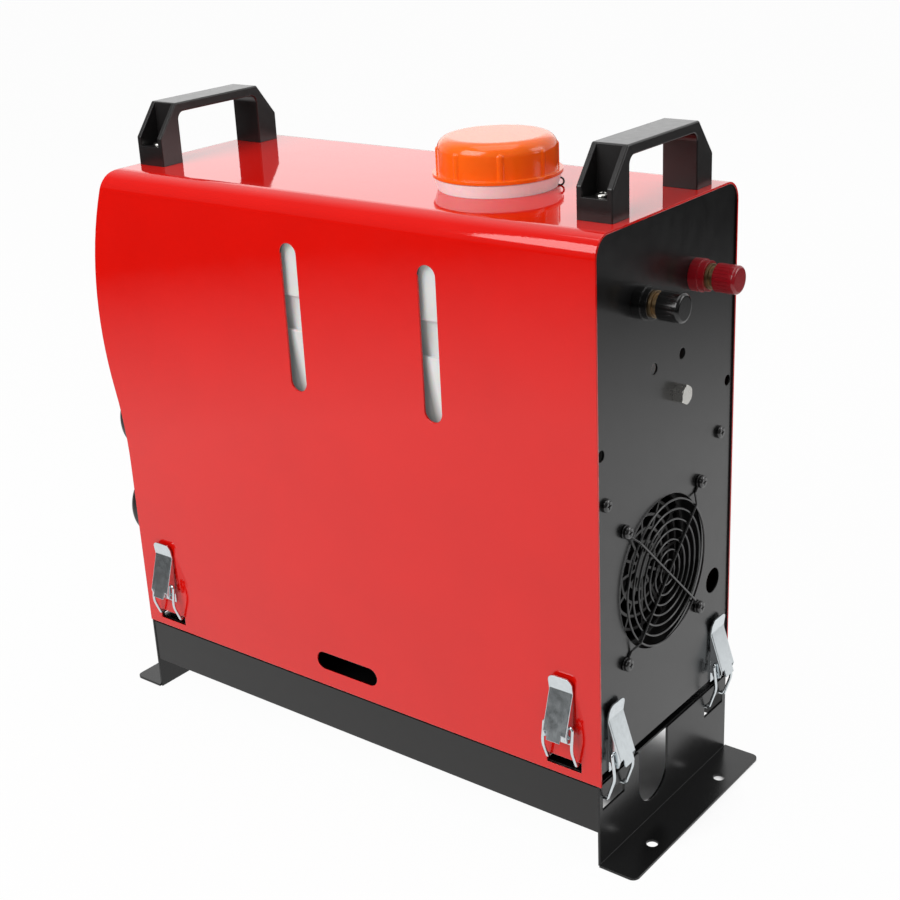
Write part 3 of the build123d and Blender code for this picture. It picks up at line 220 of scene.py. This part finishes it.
def painted_window_shadow(tree):
    """Painted shadow: share of the tank's colour kept beside each window's front edge, wider towards its
    foot.
    """
    place = node(tree, "SeparateXYZ")
    tree.links.new(node(tree, "NewGeometry").outputs["Position"], place.inputs["Vector"])
    along = math_node(tree, "SUBTRACT", place.outputs["X"], WINDOW_EDGE - SHADE_LEAD)
    along = math_node(tree, "FLOORED_MODULO", along, WINDOW_PITCH)
    width = ranged(tree, place.outputs["Z"], *SHADE_WIDTH, *SHADE_Z)
    past = math_node(tree, "SUBTRACT", along, width)
    return ranged(tree, past, SHADE_SHARE, 1.0, -SHADE_SOFT, 0)


def paint(material, *names):
    """Give CAD nodes a material."""
    for name in names:
        slots = NODES[name].data.materials
        slots.clear()
        slots.append(material)


# ---- materials of the CAD nodes -----------------------------------------------------
def paint_housing():
    """Gloss red shell, satin black plates and base."""
    red = surface("red_gloss_paint", RED, 0.05, tint=(14, 0.03), spread=(40, 0.02),
                  grain=[(260, 0.000012), (9, 0.00025)], edge=0.0006, IOR=1.5)
    # painted shade: the red is darkened on the shell's inner sides
    scale_colour(red, painted_inner_shade(red.node_tree))
    charcoal = surface("black_powder_coat", CHARCOAL, 0.25, tint=(18, 0.06), spread=(120, 0.02),
                       grain=[(2200, 0.000006)], edge=0.0005, IOR=1.55)
    rail = surface("grey_powder_coat", RAIL_GREY, 0.36, tint=(12, 0.08), spread=(120, 0.02),
                   grain=[(2200, 0.000006)], edge=0.0005, IOR=1.47)
    base = surface("black_base_coat", CHARCOAL, 0.25, tint=(18, 0.06), spread=(120, 0.02),
                   grain=[(2200, 0.000006)], edge=0.0005, IOR=1.41)
    paint(red, "outer_shell")
    paint(charcoal, "rear_plate", "front_panel")
    paint(base, "foot_rear", "foot_front", "floor_pan")
    paint(rail, "side_rails", "heater_bracket")


def paint_plastics():
    """Handles, cap, collar, tank, knobs, vents and controller."""
    black = surface("black_moulded_plastic", BLACK, 0.30, spread=(300, 0.02),
                    grain=[(2600, 0.000005)], edge=0.0004, IOR=1.55)
    vent = surface("vent_plastic", BLACK, 0.38, spread=(200, 0.05),
                   grain=[(2200, 0.000008)], edge=0.0004, IOR=1.4)
    orange = surface("orange_plastic", ORANGE, 0.15, tint=(60, 0.03), spread=(150, 0.02),
                     grain=[(700, 0.000002)], edge=0.0004, IOR=1.5,
                     Subsurface_Weight=0.2, Subsurface_Scale=0.004)
    # painted light: the collar glows though it is no lamp
    white = surface("white_plastic", WHITE, 0.25, tint=(60, 0.03), grain=[(700, 0.000006)],
                    edge=0.0004, IOR=1.5, Subsurface_Weight=0.3, Subsurface_Scale=0.004,
                    Emission_Color=(*WHITE, 1.0), Emission_Strength=COLLAR_PAINTED_GLOW)
    # painted light: the tank glows though it is no lamp
    tank = surface("milky_tank", MILKY, 0.42, tint=(30, 0.05), grain=[(240, 0.00004), (1400, 0.00001)],
                   edge=0.0012, IOR=1.5, Subsurface_Weight=0.5, Subsurface_Scale=0.006,
                   Emission_Color=(*MILKY, 1.0), Emission_Strength=MILKY_PAINTED_GLOW)
    # painted shadow on the tank beside each window's front edge
    scale_colour(tank, painted_window_shadow(tank.node_tree))
    knob_black = surface("black_knob", KNOB_BLACK, 0.15, spread=(400, 0.03),
                         grain=[(2500, 0.000003)], edge=0.0003, IOR=1.5)
    knob_red = surface("red_knob", KNOB_RED, 0.17, spread=(400, 0.03), grain=[(2500, 0.000003)],
                       edge=0.0003, IOR=1.5)
    button = surface("button_plastic", BUTTON_GREY, 0.45, grain=[(2500, 0.00001)], edge=0.0003)
    screen = surface("screen_glass", SCREEN_BLUE, 0.08, spread=(30, 0.02), Coat_Weight=1.0,
                     Coat_Roughness=0.03)
    rubber = surface("rubber", BLACK, 0.7, grain=[(1800, 0.00002)])
    paint(black, "handles", "heater_case", "outlet_plenum", "blower_impeller", "controller_case",
          "intake_grille")
    paint(vent, "vent_bezels", *[name for name in NODES if name.startswith("vent_louvre")])
    paint(orange, "filler_cap")
    paint(white, "filler_collar")
    paint(tank, "fuel_tank")
    paint(knob_black, "terminal_collar_black", "terminal_knob_black")
    paint(knob_red, "terminal_collar_red", "terminal_knob_red")
    paint(button, *[name for name in NODES if name.startswith("button_")])
    paint(screen, "controller_screen")
    paint(rubber, "cap_gasket", "fuel_line")


def paint_metals():
    """Latches, screws, studs, guard and what is inside."""
    zinc = surface("zinc_plate", ZINC, 0.20, tint=(420, 0.03), spread=(260, 0.04),
                   grain=[(900, 0.000003)], edge=0.0003, Metallic=1.0)
    wire = surface("bright_wire", ZINC, 0.16, tint=(300, 0.05), spread=(300, 0.05), Metallic=1.0)
    guard = surface("guard_wire", KNOB_BLACK, 0.16, tint=(100, 0.2), spread=(200, 0.03), IOR=1.6)
    screw = surface("black_screw", KNOB_BLACK, 0.12, spread=(500, 0.03), edge=0.0003, IOR=1.7)
    brass = surface("dark_brass", BRASS, 0.35, spread=(500, 0.05), edge=0.0003, Metallic=1.0)
    nickel = surface("nickel", NICKEL, 0.22, spread=(500, 0.08), edge=0.0003, Metallic=1.0)
    steel = surface("steel", STEEL, 0.32, spread=(200, 0.1), Metallic=1.0)
    cast = surface("cast_aluminium", ALUMINIUM, 0.5, grain=[(800, 0.00006)], Metallic=1.0)
    board = surface("circuit_board", BOARD_GREEN, 0.35, tint=(200, 0.25))
    paint(zinc, "latch_bases", *[name for name in NODES if name.startswith("latch_lever")])
    paint(wire, *[name for name in NODES if name.startswith("latch_bail")])
    paint(guard, "fan_guard")
    paint(screw, "rear_screws")
    paint(nickel, "hex_bolt", "handle_screws", "terminal_studs")
    paint(brass, "terminal_washer_black", "terminal_washer_red")
    paint(steel, "motor_shaft", "burner_pipes", "fuel_pump")
    paint(cast, "heat_exchanger", "blower_motor", "combustion_impeller")
    paint(board, "control_board")


# ---- studio ---------------------------------------------------------------------------
def make_camera():
    """Camera at the photograph's place, with its small roll."""
    azimuth, elevation, roll = (
        math.radians(angle) for angle in (CAMERA_AZIMUTH, CAMERA_ELEVATION, CAMERA_ROLL)
    )
    back = Vector((
        math.sin(azimuth) * math.cos(elevation),
        -math.cos(azimuth) * math.cos(elevation),
        math.sin(elevation),
    ))
    right = Vector((0, 0, 1)).cross(back).normalized()
    up = back.cross(right)
    turned_right = math.cos(roll) * right + math.sin(roll) * up
    turned_up = math.cos(roll) * up - math.sin(roll) * right
    turn = Matrix((turned_right, turned_up, back)).transposed().to_4x4()
    data = bpy.data.cameras.new("camera")
    data.lens = LENS_MM
    data.sensor_width = SENSOR_MM
    camera = bpy.data.objects.new("camera", data)
    camera.matrix_world = Matrix.Translation(CAMERA_POINT) @ turn
    bpy.context.scene.collection.objects.link(camera)
    bpy.context.scene.camera = camera


def make_lamp(name, place, aim, size, radiance):
    """Soft rectangular lamp that the camera doesn't see."""
    data = bpy.data.lights.new(name, "AREA")
    data.shape = "RECTANGLE"
    data.size, data.size_y = size
    data.energy = radiance * math.pi * size[0] * size[1]
    lamp = bpy.data.objects.new(name, data)
    lamp.location = place
    lamp.rotation_euler = (Vector(aim) - Vector(place)).to_track_quat("-Z", "Y").to_euler()
    lamp.visible_camera = False
    bpy.context.scene.collection.objects.link(lamp)


def seen_in(tree, *rays):
    """Output that is 1 for any of these kinds of rays, such as Is Camera Ray."""
    paths = node(tree, "LightPath")
    share = paths.outputs[rays[0]]
    for ray in rays[1:]:
        share = math_node(tree, "MAXIMUM", share, paths.outputs[ray])
    return share


def blended(tree, share, first, second):
    """Output that goes from first to second, outputs or numbers, as share goes from 0 to 1."""
    mix = node(tree, "Mix", data_type="FLOAT")
    tree.links.new(share, mix.inputs["Factor"])
    for value, name in ((first, "A"), (second, "B")):
        if isinstance(value, (int, float)):
            mix.inputs[name].default_value = value
        else:
            tree.links.new(value, mix.inputs[name])
    return mix.outputs["Result"]


def mixed(tree, share, first, second):
    """Shader that goes from first to second as share goes from 0 to 1."""
    mix = node(tree, "MixShader")
    tree.links.new(share, mix.inputs["Fac"])
    tree.links.new(first, mix.inputs[1])
    tree.links.new(second, mix.inputs[2])
    return mix.outputs["Shader"]


def glow(tree, strength):
    """White emission of a strength that comes from an output."""
    made = node(tree, "Emission")
    tree.links.new(strength, made.inputs["Strength"])
    return made.outputs["Emission"]


def make_world():
    """Even pale light around, white to the camera and in mirrors that face the backdrop."""
    world = bpy.data.worlds.new("studio")
    world.use_nodes = True
    bpy.context.scene.world = world
    tree = world.node_tree
    background = tree.nodes["Background"]
    background.inputs["Color"].default_value = (1, 1, 1, 1)
    towards = node(tree, "VectorMath", operation="DOT_PRODUCT")
    towards.inputs[1].default_value = BACKDROP
    direction = node(tree, "TexCoord").outputs["Generated"]
    tree.links.new(direction, towards.inputs[0])
    upwards = node(tree, "SeparateXYZ")
    tree.links.new(direction, upwards.inputs["Vector"])
    dark = ranged(tree, upwards.outputs["Z"], *MIRROR_DARK, 0, MIRROR_RISE)
    facing = ranged(tree, towards.outputs["Value"], 0, 1, *MIRROR_TURN)
    mirrored = blended(tree, facing, dark, 1.0)
    level = blended(tree, seen_in(tree, "Is Glossy Ray", "Is Transmission Ray"), WORLD_LEVEL, mirrored)
    level = blended(tree, seen_in(tree, "Is Camera Ray"), level, 1.0)
    tree.links.new(level, background.inputs["Strength"])


def make_floor():
    """Pale floor that keeps the object's shadow where something stands close over it, except towards -y,
    and is white to the camera elsewhere; mirrors see a painted glow on it.
    """
    half = FLOOR_SIZE / 2
    mesh = bpy.data.meshes.new("floor")
    corners = [(-half, -half, 0), (half, -half, 0), (half, half, 0), (-half, half, 0)]
    mesh.from_pydata(corners, [], [(0, 1, 2, 3)])
    floor = bpy.data.objects.new("floor", mesh)
    bpy.context.scene.collection.objects.link(floor)
    material = bpy.data.materials.new("pale_floor")
    material.use_nodes = True
    tree = material.node_tree
    shader = tree.nodes["Principled BSDF"]
    shader.inputs["Base Color"].default_value = (FLOOR_WHITE, FLOOR_WHITE, FLOOR_WHITE, 1)
    shader.inputs["Roughness"].default_value = FLOOR_ROUGH
    shader.inputs["Specular IOR Level"].default_value = 0.0
    cover = node(tree, "AmbientOcclusion", samples=COVER_SAMPLES)
    cover.inputs["Distance"].default_value = COVER_REACH
    coords = node(tree, "TexCoord")
    place = node(tree, "SeparateXYZ")
    tree.links.new(coords.outputs["Object"], place.inputs["Vector"])
    uncovered = ranged(tree, cover.outputs["AO"], 0, 1, *COVER_SHARES)
    in_front = ranged(tree, place.outputs["Y"], 0, 1, *FRONT_FLOOR)
    in_open = math_node(tree, "MAXIMUM", uncovered, in_front)
    camera_share = ranged(tree, seen_in(tree, "Is Camera Ray"), 0.0, FLOOR_SHOWN, 0, 1)
    shown_share = math_node(tree, "MULTIPLY", in_open, camera_share)
    reach = node(tree, "VectorMath", operation="LENGTH")
    tree.links.new(coords.outputs["Object"], reach.inputs[0])
    # painted light: the floor as mirrors see it, glowing white near the middle and dark far out
    painted_floor_glow = glow(tree, ranged(tree, reach.outputs["Value"], 1.0, FLOOR_FAR_GLOW, *FLOOR_GLOW_RADII))
    white = node(tree, "Emission")
    mirror_share = seen_in(tree, "Is Glossy Ray", "Is Transmission Ray")
    floor_look = mixed(tree, mirror_share, shader.outputs["BSDF"], painted_floor_glow)
    floor_look = mixed(tree, shown_share, floor_look, white.outputs["Emission"])
    tree.links.new(floor_look, tree.nodes["Material Output"].inputs["Surface"])
    mesh.materials.append(material)


# ---- small pieces ------------------------------------------------------------------------
def new_piece(name, mesh, material, body):
    """Object for a finished mesh, riding on a CAD body."""
    piece = bpy.data.objects.new(name, mesh)
    bpy.context.scene.collection.objects.link(piece)
    mesh.materials.append(material)
    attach(piece, body)
    return piece


def make_collar_tab():
    """Small dark loop at the rear of the filler's collar, for a cap's cord."""
    mesh = bpy.data.meshes.new("collar_tab")
    points, faces = [], []
    for i in range(TAB_RINGS):
        turn = math.tau * i / TAB_RINGS
        for j in range(TAB_SIDES):
            lean = math.tau * j / TAB_SIDES
            out = TAB_RADII[0] + TAB_RADII[1] * math.cos(lean)
            points.append((out * math.cos(turn), out * math.sin(turn), TAB_RADII[1] * math.sin(lean)))
            after_i, after_j = (i + 1) % TAB_RINGS, (j + 1) % TAB_SIDES
            faces.append((i * TAB_SIDES + j, after_i * TAB_SIDES + j,
                          after_i * TAB_SIDES + after_j, i * TAB_SIDES + after_j))
    mesh.from_pydata(points, [], faces)
    mesh.polygons.foreach_set("use_smooth", [True] * len(faces))
    turn = math.radians(TAB_TURN)
    place = (CAP_PLACE[0] + TAB_REACH * math.cos(turn), CAP_PLACE[1] + TAB_REACH * math.sin(turn), TAB_Z)
    stand = Matrix.Rotation(turn, 4, "Z") @ Matrix.Rotation(math.pi / 2, 4, "X")
    mesh.transform(Matrix.Translation(place) @ stand)
    plastic = surface("tab_plastic", BLACK, 0.3, tint=(200, 0.05), spread=(300, 0.02))
    new_piece("collar_tab", mesh, plastic, "housing")


# ---- making --------------------------------------------------------------------------------
make_camera()
make_world()
make_floor()
for lamp in LAMPS:
    make_lamp(*lamp)
paint_housing()
paint_plastics()
paint_metals()
make_collar_tab()
bpy.context.scene.view_settings.view_transform = "Standard"
